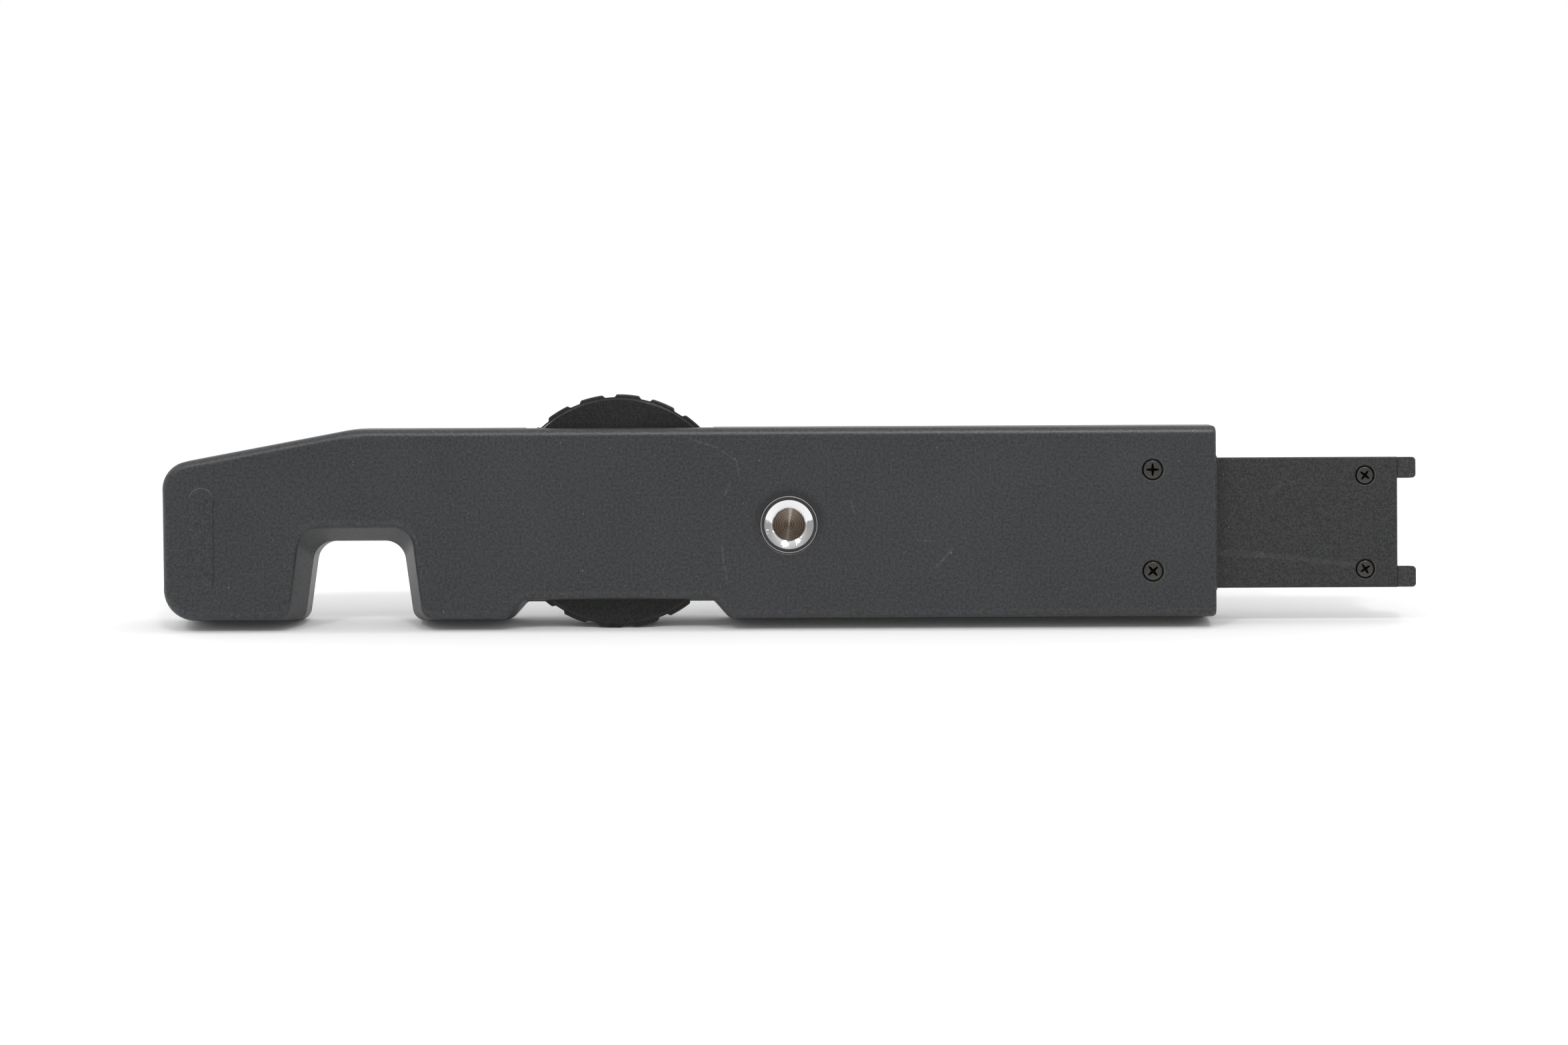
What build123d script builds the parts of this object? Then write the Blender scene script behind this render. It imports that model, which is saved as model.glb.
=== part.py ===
from build123d import *

import math
import os

os.makedirs("parts", exist_ok=True)

# Millimetres and degrees. X runs along the bracket to its pull-out end, Y runs from the tripod
# face at 0 to the camera face, and Z points up as the bracket stands on its long edge.
# The origin is the mouth of the tripod socket.

# Walls
cover_wall = 2.0
platform_wall = 2.0
side_wall = 1.5
frame_thickness = 1.5

# Depths from the tripod face
cover_depth = 6.4
parting_bevel = 0.15

# Pull-out bar, at rest as it is carried
bar_width = 21.0
bar_thickness = 4.2
bar_shows = 29.55
bar_edge = 0.3
bar_clearance = 0.1
bar_pull = 14.0

# Guide sleeve round the bar
sleeve_length = 14.85
sleeve_side_wall = 2.4
sleeve_face_wall = 2.1
sleeve_back_wall = 1.9
sleeve_top_gap = 0.97
sleeve_foot_gap = 0.4

# Body outline at the parting line, measured from the socket axis
left_end = 100.0
right_end = 68.25
end_lean = 0.25
slope_start = 69.45
slope_angle = 10.65
slope_blend = 20.0
upper_corner = 4.5
lower_corner = 5.0
foot_corner = 2.0

# How far the cover's walls lean in from the parting line to the tripod face
top_draft = 0.4
foot_draft = 0.25
ceiling_draft = 2.35
mouth_draft = 2.2
crown_draft = 2.05
recess_draft = 0.6
front_round = 1.4
rear_round = 1.2
end_round = 0.6

# Cable notch
notch_inset = 30.68
notch_mouth = 17.65
notch_crown = 14.1
notch_height = 12.85
notch_corner = 3.3

# Raised oval near the left end of the tripod face
oval_inset = 6.15
oval_z = -2.25
oval_length = 16.9
oval_width = 3.9
oval_height = 0.08

# Mouth of the body round the bar
mouth_clearance = 0.15
mouth_lip = 0.55
mouth_lip_wall = 0.4
mouth_lip_lean = 30.0

# Thumbwheel and the recess under it
socket_gap = 2.05
wheel_z = 2.33
wheel_root = 18.3
rim_bevel = 0.25
rim_width = 2.8
tooth_count = 20
tooth_height = 0.45
tooth_root = 0.9
tooth_top = 3.48
tooth_base = 4.2
first_tooth = 85.4
wheel_gap = 0.3
slot_end_gap = 0.5
recess_height = 2.85
recess_lean = 0.9
recess_corner = 0.8
hub_radius = 6.0
hub_height = 0.5
hub_web = 1.1
hub_wall = 1.65
relief_depth = 1.2

# Pivot of the wheel on the cover, and the thrust washer round it
pivot_radius = 3.0
washer_thickness = 0.8
running_clearance = 0.05
end_clearance = 0.1

# Camera screw, 1/4 inch, and its bush
thread_radius = 3.175
thread_reach = 4.8
tip_bevel = 0.7
journal_radius = 3.6
head_across_flats = 11.0
head_thickness = 3.2
bush_flange_radius = 6.0
bush_flange = 0.7
bush_radius = 4.5

# Steel frame plate on the inside of the platform
frame_gap = 0.5
frame_end_gap = 1.45
frame_corner = 2.0
frame_step = 1.5

# Rubber pad on the camera face
pad_inset = 1.0
pad_end_gap = 1.5
pad_foot_margin = 2.3
pad_top_margin = 3.15
pad_corner = 3.0
pad_recess = 0.6
pad_thickness = 1.4
pad_gap = 0.1
pad_rib_pitch = 2.5
pad_groove_width = 0.9
pad_groove_depth = 0.35
pad_border = 2.0
pad_hole_margin = 0.7

# Tripod bushing, 1/4 inch
socket_radius = 2.56
socket_depth = 7.5
socket_cone = 0.25
socket_mouth = 0.76
mouth_radius = 2.82
rim_depth = 0.04
bevel_radius = 3.92
bevel_depth = 0.5
groove_depth = 0.9
lip_inner_radius = 4.42
lip_depth = 0.1
bushing_radius = 4.57
bushing_flange_radius = 6.5
bushing_flange = 1.4
spigot_radius = 4.0
bushing_fit = 0.03
socket_edge_round = 0.3

# Stop pin across the inner end of the bar
pin_radius = 0.8
pin_overhang = 2.0
pin_inset = 2.0
pin_fit = 0.02
stop_clearance = 0.1

# Drag ball and spring behind the bar
ball_radius = 1.2
ball_bite = 0.35
ball_inset = 3.6
pocket_clearance = 0.05
pocket_depth = 0.8
spring_wire = 0.3
spring_clearance = 0.15
spring_pitch = 0.6
spring_fit = 0.02

# Fork end piece
fork_tongue = 11.7
fork_depth = 2.2
prong_reach = 2.93
prong_height = 3.35
prong_round = 0.6
fork_inset = 0.05

# Screws
thread_fit = 0.02
screw_clearance = 0.15
recess_margin = 0.25
cross_width = 0.5
pan_head_radius = 1.5
pan_head_height = 0.95
pan_head_sink = 0.15
pan_shank = 1.0
body_screw_inset = 10.17
body_screw_mid = 0.42
body_screw_spacing = 16.2
body_screw_length = 2.75
bar_screw_inset = 5.15
bar_screw_edge = 2.97
bar_head_radius = 1.35
bar_head_height = 0.8
bar_head_sink = 0.12
bar_shank = 0.85
bar_screw_length = 2.4
sleeve_screw_inset = 7.1
sleeve_screw_length = 7.5
housing_screw_length = 8.6
housing_boss_radius = 2.6
boss_meeting = 8.0
lobe_screw_inset = 11.0
lobe_screw_rise = 5.15
lobe_screw_spacing = 15.0
neck_screw_rise = 10.0
flat_head_radius = 1.9
flat_head_height = 0.95
flat_shank = 0.95
frame_screw_length = 6.5
frame_screw_inset = 4.5
frame_screw_spacing = 15.0

# Depths that follow: the body is as deep as what is stacked in it
bar_front = cover_wall + sleeve_face_wall + bar_clearance
bar_back = bar_front + bar_thickness
bar_mid = (bar_front + bar_back) / 2
frame_front = bar_back + bar_clearance + sleeve_back_wall
frame_rear = frame_front + frame_thickness
body_depth = frame_rear + platform_wall
pad_floor = body_depth - pad_recess
pad_face = pad_floor + pad_thickness
hub_front = cover_wall + washer_thickness + end_clearance
wheel_front = hub_front + hub_height
wheel_back = frame_front - bush_flange - end_clearance
wheel_mid = (wheel_front + wheel_back) / 2
head_front = wheel_back - head_thickness
pivot_tip = head_front - hub_web - end_clearance
screw_tip = pad_face + thread_reach
bushing_back = frame_front - bushing_flange

# Heights that follow: the body is as tall as the sleeve and its walls
bar_half = bar_width / 2
channel_half = bar_half + bar_clearance
sleeve_half = channel_half + sleeve_side_wall
top_height = sleeve_half + sleeve_top_gap + side_wall + top_draft
foot_height = sleeve_half + sleeve_foot_gap + side_wall + foot_draft
body_height = top_height + foot_height
notch_ceiling = notch_height - foot_height
recess_ceiling = recess_height - foot_height
frame_half = -recess_ceiling - side_wall - frame_gap
body_screw_heights = [body_screw_mid + body_screw_spacing / 2, body_screw_mid - body_screw_spacing / 2]
bar_screw_heights = [bar_half - bar_screw_edge, bar_screw_edge - bar_half]
sleeve_screw_heights = [channel_half + sleeve_side_wall / 2, -channel_half - sleeve_side_wall / 2]

# Places along the body that follow
notch_centre = notch_inset - left_end
sleeve_right = right_end - side_wall
sleeve_left = sleeve_right - sleeve_length
pin_x = sleeve_left - stop_clearance - bar_pull - pin_radius
bar_inner = pin_x - pin_inset
bar_reach = right_end + bar_shows
bar_push = bar_inner - bushing_flange_radius - stop_clearance
fork_root = bar_reach - fork_tongue
ball_x = sleeve_left + ball_inset
wheel_outer = wheel_root + tooth_height
wheel_x = -bushing_flange_radius - socket_gap - wheel_outer
slot_reach = top_height - top_draft - side_wall - wheel_z
slot_half = math.sqrt(wheel_outer**2 - slot_reach**2) + slot_end_gap
frame_left = notch_centre + notch_mouth / 2 + side_wall + frame_end_gap
body_screw_x = right_end - body_screw_inset
bar_screw_x = bar_reach - bar_screw_inset
sleeve_screw_x = sleeve_left + sleeve_screw_inset
frame_screw_x = frame_left + frame_screw_inset


def at_depth(y):
    """The plane at depth y seen from the tripod side; negative extrusions go deeper."""
    return Plane.XZ.offset(-y)


def body_outline(y, right):
    """The outline of the body at depth y, ending squarely at right."""
    lean = max(0.0, 1 - y / cover_depth)
    top = top_height - lean * top_draft
    foot = lean * foot_draft - foot_height
    ceiling = notch_ceiling + lean * ceiling_draft
    mouth = notch_mouth / 2 + lean * mouth_draft
    crown = notch_crown / 2 + lean * crown_draft
    recess = recess_ceiling + lean * recess_draft
    run = recess_lean * (recess - foot)
    drop = (left_end - slope_start) * math.tan(math.radians(slope_angle))
    corners = [
        (-left_end, foot, lower_corner),
        (notch_centre - mouth, foot, foot_corner),
        (notch_centre - crown, ceiling, notch_corner),
        (notch_centre + crown, ceiling, notch_corner),
        (notch_centre + mouth, foot, foot_corner),
        (wheel_x - slot_half - run, foot, foot_corner),
        (wheel_x - slot_half, recess, recess_corner),
        (wheel_x + slot_half, recess, recess_corner),
        (wheel_x + slot_half + run, foot, foot_corner),
        (right, foot, 0),
        (right, top, 0),
        (-slope_start, top, slope_blend),
        (-left_end - end_lean, top - drop, upper_corner),
    ]
    with BuildSketch() as outline:
        with BuildLine():
            FilletPolyline(*[(x, z) for x, z, _ in corners], radius=[r for _, _, r in corners], close=True)
        make_face()
    return outline.sketch


def inner_outline(y):
    """The outline of the cavity at depth y, one side wall inside the body's."""
    with BuildSketch() as outline:
        add(body_outline(y, right_end))
        offset(amount=-side_wall, mode=Mode.REPLACE)
    return outline.sketch


def pan_screw(head_radius, head_height, shank_radius, length):
    """A cross-head pan screw along Z, with its seat at 0 and its head above."""
    dome = 0.3 * head_height
    with BuildPart() as screw:
        with BuildSketch(Plane.XZ):
            with BuildLine():
                Polyline(
                    (0, head_height),
                    (0, -length),
                    (shank_radius - dome, -length),
                    (shank_radius, dome - length),
                    (shank_radius, 0),
                    (head_radius, 0),
                    (head_radius, head_height - dome),
                )
                ThreePointArc(
                    (head_radius, head_height - dome),
                    (0.6 * head_radius, head_height - 0.3 * dome),
                    (0, head_height),
                )
            make_face()
        revolve(axis=Axis.Z)
        with Locations((0, 0, head_height)):
            Box(1.32 * head_radius, cross_width, 1.3 * head_height, mode=Mode.SUBTRACT)
            Box(cross_width, 1.32 * head_radius, 1.3 * head_height, mode=Mode.SUBTRACT)
    return screw.part


def flat_screw(head_radius, head_height, shank_radius, length):
    """A cross-head countersunk screw along Z, with its flat top at 0."""
    with BuildPart() as screw:
        with BuildSketch(Plane.XZ):
            with BuildLine():
                Polyline(
                    (0, 0),
                    (0, -length),
                    (shank_radius, -length),
                    (shank_radius, -head_height),
                    (head_radius, 0),
                    close=True,
                )
            make_face()
        revolve(axis=Axis.Z)
        Box(1.3 * head_radius, cross_width, 1.2 * head_height, mode=Mode.SUBTRACT)
        Box(cross_width, 1.3 * head_radius, 1.2 * head_height, mode=Mode.SUBTRACT)
    return screw.part


def facing_tripod(x, y, z, turn=0.0):
    """Where a screw goes that is driven from the tripod side."""
    seat = Plane(origin=(x, y, z), x_dir=(1, 0, 0), z_dir=(0, -1, 0))
    return seat.location * Location((0, 0, 0), (0, 0, turn))


def facing_camera(x, y, z, turn=0.0):
    """Where a screw goes that is driven from the camera side."""
    seat = Plane(origin=(x, y, z), x_dir=(1, 0, 0), z_dir=(0, 1, 0))
    return seat.location * Location((0, 0, 0), (0, 0, turn))


neck_screw = (notch_centre, notch_ceiling + neck_screw_rise)
lobe_screw_x = lobe_screw_inset - left_end
lobe_screw_z = lobe_screw_rise - foot_height
housing_screw_spots = [
    (lobe_screw_x, lobe_screw_z),
    (lobe_screw_x, lobe_screw_z + lobe_screw_spacing),
    neck_screw,
]
frame_screw_spots = [(frame_screw_x, frame_screw_spacing / 2), (frame_screw_x, -frame_screw_spacing / 2)]
sleeve_screw_spots = [(sleeve_screw_x, z) for z in sleeve_screw_heights]
body_screw_spots = [(body_screw_x, z) for z in body_screw_heights]
bar_screw_spots = [(bar_screw_x, z) for z in bar_screw_heights]

# The body's outlines, solid and hollow, before its right end is cut off square
overrun = right_end + side_wall
face_outline = body_outline(0, overrun)
parting_outline = body_outline(cover_depth, overrun)
cover_floor_outline = inner_outline(cover_wall)
cavity_outline = inner_outline(cover_depth)

# Cuts that both halves share: the wheel's slot and the bar's mouth
with BuildPart() as wheel_slot:
    with Locations((wheel_x, wheel_mid, 0)):
        Box(2 * slot_half, wheel_back - wheel_front + 2 * wheel_gap, 2 * body_height)

with BuildPart() as bar_mouth:
    with Locations((right_end, bar_mid, 0)):
        Box(
            2 * (side_wall + mouth_lip),
            bar_thickness + 2 * mouth_clearance,
            bar_width + 2 * mouth_clearance,
        )

# The lip round the bar's mouth, half of it on each half of the body
mouth_rim = 2 * (mouth_clearance + mouth_lip_wall)
with BuildPart() as mouth_ring:
    with BuildSketch(Plane.YZ.offset(right_end)):
        with Locations((bar_mid, 0)):
            Rectangle(bar_thickness + mouth_rim, bar_width + mouth_rim)
    extrude(amount=mouth_lip, taper=mouth_lip_lean)
front_lip = split(mouth_ring.part, bisect_by=at_depth(cover_depth), keep=Keep.TOP)
back_lip = split(mouth_ring.part, bisect_by=at_depth(cover_depth), keep=Keep.BOTTOM)

# Base cover: the tripod face and its leaning walls
with BuildPart() as base_cover:
    with BuildSketch(at_depth(0)):
        add(face_outline)
    with BuildSketch(at_depth(cover_depth)):
        add(parting_outline)
    loft(ruled=True)
    face_edges = faces().filter_by(Axis.Y).sort_by(Axis.Y)[0].edges()
    fillet([edge for edge in face_edges if edge.center().X < right_end], front_round)
    split(bisect_by=Plane.YZ.offset(right_end), keep=Keep.BOTTOM)
    end_edges = faces().filter_by(Axis.X).sort_by(Axis.X)[-1].edges()
    fillet([edge for edge in end_edges if edge.center().Y < cover_depth - end_round], end_round)
    with BuildSketch(at_depth(cover_wall)):
        add(cover_floor_outline)
    with BuildSketch(at_depth(cover_depth)):
        add(cavity_outline)
    loft(ruled=True, mode=Mode.SUBTRACT)
    add(front_lip)
    add(bar_mouth.part, mode=Mode.SUBTRACT)
    add(wheel_slot.part, mode=Mode.SUBTRACT)
    with BuildSketch(at_depth(cover_wall)):
        with Locations((wheel_x, wheel_z)):
            Circle(pivot_radius)
    extrude(amount=cover_wall - pivot_tip)
    with BuildSketch(at_depth(cover_wall)):
        Circle(bushing_flange_radius)
    extrude(amount=cover_wall - bushing_back)
    with BuildSketch(at_depth(cover_wall)):
        with Locations(*housing_screw_spots):
            Circle(housing_boss_radius)
    extrude(amount=cover_wall - boss_meeting)
    with BuildSketch(at_depth(cover_wall)):
        with Locations(*frame_screw_spots):
            Circle(housing_boss_radius)
    extrude(amount=cover_wall - frame_front)
    with BuildSketch(at_depth(cover_wall)):
        with Locations(*housing_screw_spots):
            Circle(pan_shank + thread_fit)
        with Locations(*frame_screw_spots):
            Circle(flat_shank + thread_fit)
    extrude(amount=cover_wall - body_depth, mode=Mode.SUBTRACT)
    with BuildSketch(at_depth(0)):
        Circle(bushing_radius + bushing_fit)
    extrude(amount=-bushing_back, mode=Mode.SUBTRACT)
    socket_edge = edges().filter_by(GeomType.CIRCLE).sort_by_distance((0, 0, 0))[0]
    fillet(socket_edge, socket_edge_round)
    with Locations(*[facing_tripod(x, 0, z) for x, z in body_screw_spots]):
        CounterBoreHole(
            pan_shank + screw_clearance,
            pan_head_radius + recess_margin,
            pan_head_height + pan_head_sink,
        )
    with BuildSketch(at_depth(0)):
        with Locations((oval_inset - left_end, oval_z)):
            SlotOverall(oval_length, oval_width, rotation=90)
    extrude(amount=oval_height)
base_cover.part.label = "base_cover"
export_step(base_cover.part, "parts/base_cover.step")

# Platform shell: the camera side of the body
with BuildPart() as platform_shell:
    with BuildSketch(at_depth(cover_depth)):
        add(parting_outline)
    extrude(amount=cover_depth - body_depth)
    back_edges = faces().filter_by(Axis.Y).sort_by(Axis.Y)[-1].edges()
    fillet([edge for edge in back_edges if edge.center().X < right_end], rear_round)
    seam_edges = faces().filter_by(Axis.Y).sort_by(Axis.Y)[0].edges()
    chamfer([edge for edge in seam_edges if edge.center().X < right_end], parting_bevel)
    split(bisect_by=Plane.YZ.offset(right_end), keep=Keep.BOTTOM)
    end_edges = faces().filter_by(Axis.X).sort_by(Axis.X)[-1].edges()
    fillet([edge for edge in end_edges if edge.center().Y > cover_depth + end_round], end_round)
    with BuildSketch(at_depth(cover_depth)):
        add(cavity_outline)
    extrude(amount=cover_depth - frame_rear, mode=Mode.SUBTRACT)
    add(back_lip)
    add(bar_mouth.part, mode=Mode.SUBTRACT)
    add(wheel_slot.part, mode=Mode.SUBTRACT)
    with BuildSketch(at_depth(boss_meeting)):
        with Locations(*housing_screw_spots):
            Circle(housing_boss_radius)
    extrude(amount=boss_meeting - frame_rear)
    pad_left = frame_left + pad_inset
    pad_right = sleeve_left - pad_end_gap
    pad_low = recess_ceiling + pad_foot_margin
    pad_high = top_height - pad_top_margin
    with BuildSketch(at_depth(pad_floor)):
        with Locations(((pad_left + pad_right) / 2, (pad_low + pad_high) / 2)):
            RectangleRounded(pad_right - pad_left, pad_high - pad_low, pad_corner)
    extrude(amount=pad_floor - body_depth, mode=Mode.SUBTRACT)
    with BuildSketch(at_depth(frame_rear)):
        with Locations((wheel_x, wheel_z)):
            Circle(bush_radius)
    extrude(amount=frame_rear - body_depth, mode=Mode.SUBTRACT)
    with BuildSketch(at_depth(frame_rear)):
        with Locations((ball_x, 0)):
            Circle(ball_radius + pocket_clearance)
    extrude(amount=-pocket_depth, mode=Mode.SUBTRACT)
    with Locations(*[facing_camera(x, body_depth, z) for x, z in housing_screw_spots + sleeve_screw_spots]):
        CounterBoreHole(
            pan_shank + screw_clearance,
            pan_head_radius + recess_margin,
            pan_head_height + pan_head_sink,
        )
    with Locations(*[facing_camera(x, pad_floor, z) for x, z in frame_screw_spots]):
        CounterSinkHole(flat_shank + screw_clearance, flat_head_radius + thread_fit)
platform_shell.part.label = "platform_shell"
export_step(platform_shell.part, "parts/platform_shell.step")

# Frame plate: steel, ties the camera screw, the tripod bushing and the sleeve together
neck_end = sleeve_left - frame_step
with BuildPart() as frame_plate:
    with BuildSketch(at_depth(frame_front)):
        with BuildLine():
            FilletPolyline(
                (frame_left, -frame_half),
                (neck_end, -frame_half),
                (sleeve_left, -sleeve_half),
                (sleeve_right, -sleeve_half),
                (sleeve_right, sleeve_half),
                (sleeve_left, sleeve_half),
                (neck_end, frame_half),
                (frame_left, frame_half),
                radius=[frame_corner, 0, 0, 0, 0, 0, 0, frame_corner],
                close=True,
            )
        make_face()
        with Locations((wheel_x, wheel_z)):
            Circle(bush_radius, mode=Mode.SUBTRACT)
        Circle(spigot_radius, mode=Mode.SUBTRACT)
        with Locations((ball_x, 0)):
            Circle(ball_radius + pocket_clearance, mode=Mode.SUBTRACT)
        with Locations(*sleeve_screw_spots):
            Circle(pan_shank + screw_clearance, mode=Mode.SUBTRACT)
        with Locations(*frame_screw_spots):
            Circle(flat_shank + screw_clearance, mode=Mode.SUBTRACT)
    extrude(amount=-frame_thickness)
frame_plate.part.label = "frame_plate"
export_step(frame_plate.part, "parts/frame_plate.step")

# Camera pad: ribbed rubber let into the camera face
pad_length = pad_right - pad_left - 2 * pad_gap
pad_width = pad_high - pad_low - 2 * pad_gap
groove_count = int((pad_length - 2 * pad_border) / pad_rib_pitch)
with BuildPart() as camera_pad:
    with BuildSketch(at_depth(pad_floor)):
        with Locations(((pad_left + pad_right) / 2, (pad_low + pad_high) / 2)):
            RectangleRounded(pad_length, pad_width, pad_corner - pad_gap)
        with Locations((wheel_x, wheel_z)):
            Circle(bush_radius + pad_hole_margin, mode=Mode.SUBTRACT)
    extrude(amount=-pad_thickness)
    with Locations(((pad_left + pad_right) / 2, pad_face, (pad_low + pad_high) / 2)):
        with GridLocations(pad_rib_pitch, 1, groove_count, 1):
            Box(pad_groove_width, 2 * pad_groove_depth, pad_width - 2 * pad_border, mode=Mode.SUBTRACT)
camera_pad.part.label = "camera_pad"
export_step(camera_pad.part, "parts/camera_pad.step")

# Thumbwheel: toothed rim, front hub on the cover's pivot, hexagonal pocket for the screw head
with BuildPart() as thumbwheel:
    with BuildSketch(at_depth(wheel_front)):
        with Locations((wheel_x, wheel_z)):
            Circle(wheel_root)
    extrude(amount=wheel_front - wheel_back)
    chamfer(edges().filter_by(GeomType.CIRCLE), rim_bevel)
    with BuildSketch(at_depth(hub_front)):
        with Locations((wheel_x, wheel_z)):
            Circle(hub_radius)
    extrude(amount=-hub_height)
    with BuildSketch(at_depth(wheel_front + rim_bevel)):
        with Locations((wheel_x, wheel_z)):
            with PolarLocations(wheel_root, tooth_count, start_angle=first_tooth):
                Polygon(
                    (-tooth_root, -tooth_base / 2),
                    (tooth_height, -tooth_top / 2),
                    (tooth_height, tooth_top / 2),
                    (-tooth_root, tooth_base / 2),
                    align=None,
                )
    extrude(amount=wheel_front - wheel_back + 2 * rim_bevel)
    with BuildSketch(at_depth(wheel_back)):
        with Locations((wheel_x, wheel_z)):
            Circle(wheel_root - rim_width)
            RegularPolygon(head_across_flats / 2 + hub_wall, 6, major_radius=False, mode=Mode.SUBTRACT)
    extrude(amount=relief_depth, mode=Mode.SUBTRACT)
    with BuildSketch(at_depth(hub_front)):
        with Locations((wheel_x, wheel_z)):
            Circle(pivot_radius + running_clearance)
    extrude(amount=hub_front - pivot_tip - end_clearance, mode=Mode.SUBTRACT)
    with BuildSketch(at_depth(head_front)):
        with Locations((wheel_x, wheel_z)):
            RegularPolygon(head_across_flats / 2, 6, major_radius=False)
    extrude(amount=-head_thickness, mode=Mode.SUBTRACT)
thumbwheel.part.label = "thumbwheel"
export_step(thumbwheel.part, "parts/thumbwheel.step")

# Camera screw: hexagonal head in the wheel, journal in the bush, threaded end past the pad
with BuildPart() as camera_screw:
    with BuildSketch(at_depth(head_front)):
        with Locations((wheel_x, wheel_z)):
            RegularPolygon(head_across_flats / 2, 6, major_radius=False)
    extrude(amount=-head_thickness)
    with BuildSketch(at_depth(wheel_back)):
        with Locations((wheel_x, wheel_z)):
            Circle(journal_radius)
    extrude(amount=wheel_back - pad_floor)
    with BuildSketch(at_depth(pad_floor)):
        with Locations((wheel_x, wheel_z)):
            Circle(thread_radius)
    extrude(amount=pad_floor - screw_tip)
    chamfer(edges().group_by(Axis.Y)[-1], tip_bevel)
camera_screw.part.label = "camera_screw"
export_step(camera_screw.part, "parts/camera_screw.step")

# Screw bush: flanged, pressed through the frame plate and the platform
with BuildPart() as screw_bush:
    with BuildSketch(at_depth(frame_front)):
        with Locations((wheel_x, wheel_z)):
            Circle(bush_flange_radius)
    extrude(amount=bush_flange)
    with BuildSketch(at_depth(frame_front)):
        with Locations((wheel_x, wheel_z)):
            Circle(bush_radius)
    extrude(amount=frame_front - pad_floor)
    with BuildSketch(at_depth(frame_front - bush_flange)):
        with Locations((wheel_x, wheel_z)):
            Circle(journal_radius + running_clearance)
    extrude(amount=frame_front - bush_flange - pad_floor, mode=Mode.SUBTRACT)
screw_bush.part.label = "screw_bush"
export_step(screw_bush.part, "parts/screw_bush.step")

# Wheel washer: thrust washer round the cover's pivot
with BuildPart() as wheel_washer:
    with BuildSketch(at_depth(cover_wall)):
        with Locations((wheel_x, wheel_z)):
            Circle(hub_radius)
            Circle(pivot_radius + running_clearance, mode=Mode.SUBTRACT)
    extrude(amount=-washer_thickness)
wheel_washer.part.label = "wheel_washer"
export_step(wheel_washer.part, "parts/wheel_washer.step")

# Tripod bushing: blind threaded insert with a bevelled mouth and a grooved rim, riveted to the frame plate
with BuildPart() as tripod_bushing:
    with BuildSketch(Plane.XY):
        with BuildLine():
            Polyline(
                (0, frame_rear),
                (0, socket_depth + socket_cone),
                (socket_radius, socket_depth),
                (socket_radius, socket_mouth),
                (mouth_radius, bevel_depth),
                (bevel_radius, rim_depth),
                (bevel_radius, groove_depth),
                (lip_inner_radius, groove_depth),
                (lip_inner_radius, lip_depth),
                (bushing_radius, lip_depth),
                (bushing_radius, bushing_back),
                (bushing_flange_radius, bushing_back),
                (bushing_flange_radius, frame_front),
                (spigot_radius, frame_front),
                (spigot_radius, frame_rear),
                close=True,
            )
        make_face()
    revolve(axis=Axis.Y)
tripod_bushing.part.label = "tripod_bushing"
export_step(tripod_bushing.part, "parts/tripod_bushing.step")

# Guide sleeve: closed channel that the bar slides in
with BuildPart() as guide_sleeve:
    with BuildSketch(Plane.YZ.offset(sleeve_left)):
        with Locations(((cover_wall + frame_front) / 2, 0)):
            Rectangle(frame_front - cover_wall, 2 * sleeve_half)
        with Locations((bar_mid, 0)):
            Rectangle(bar_thickness + 2 * bar_clearance, 2 * channel_half, mode=Mode.SUBTRACT)
    extrude(amount=sleeve_length)
    with BuildSketch(at_depth(cover_wall)):
        with Locations(*body_screw_spots):
            Circle(pan_shank + thread_fit)
    extrude(amount=cover_wall - bar_front, mode=Mode.SUBTRACT)
    with BuildSketch(at_depth(frame_front)):
        with Locations(*sleeve_screw_spots):
            Circle(pan_shank + thread_fit)
    extrude(amount=sleeve_screw_length - platform_wall, mode=Mode.SUBTRACT)
    with BuildSketch(at_depth(frame_front)):
        with Locations((ball_x, 0)):
            Circle(ball_radius + pocket_clearance)
    extrude(amount=frame_front - bar_mid, mode=Mode.SUBTRACT)
guide_sleeve.part.label = "guide_sleeve"
export_step(guide_sleeve.part, "parts/guide_sleeve.step")

# Slide bar: flat bar with a drag groove, a pocket for the fork and a hole for the stop pin
ball_y = bar_back - ball_bite + ball_radius
groove_radius = ball_radius + running_clearance
groove_start = ball_x - bar_pull
groove_end = ball_x + bar_push
with BuildPart() as slide_bar:
    with Locations(((bar_inner + bar_reach) / 2, bar_mid, 0)):
        Box(bar_reach - bar_inner, bar_thickness, bar_width)
    fillet(edges().filter_by(Axis.X), bar_edge)
    with Locations(((fork_root + bar_reach) / 2, bar_back - fork_depth / 2, 0)):
        Box(fork_tongue, fork_depth, bar_width, mode=Mode.SUBTRACT)
    with Locations(Location(((groove_start + groove_end) / 2, ball_y, 0), (0, 90, 0))):
        Cylinder(groove_radius, groove_end - groove_start, mode=Mode.SUBTRACT)
    with Locations((groove_start, ball_y, 0), (groove_end, ball_y, 0)):
        Sphere(groove_radius, mode=Mode.SUBTRACT)
    with Locations((pin_x, bar_mid, 0)):
        Cylinder(pin_radius + pin_fit, 2 * bar_width, mode=Mode.SUBTRACT)
    with Locations(*[facing_tripod(x, bar_front, z) for x, z in bar_screw_spots]):
        CounterBoreHole(
            bar_shank + screw_clearance,
            bar_head_radius + recess_margin,
            bar_head_height + bar_head_sink,
        )
slide_bar.part.label = "slide_bar"
export_step(slide_bar.part, "parts/slide_bar.step")

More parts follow.
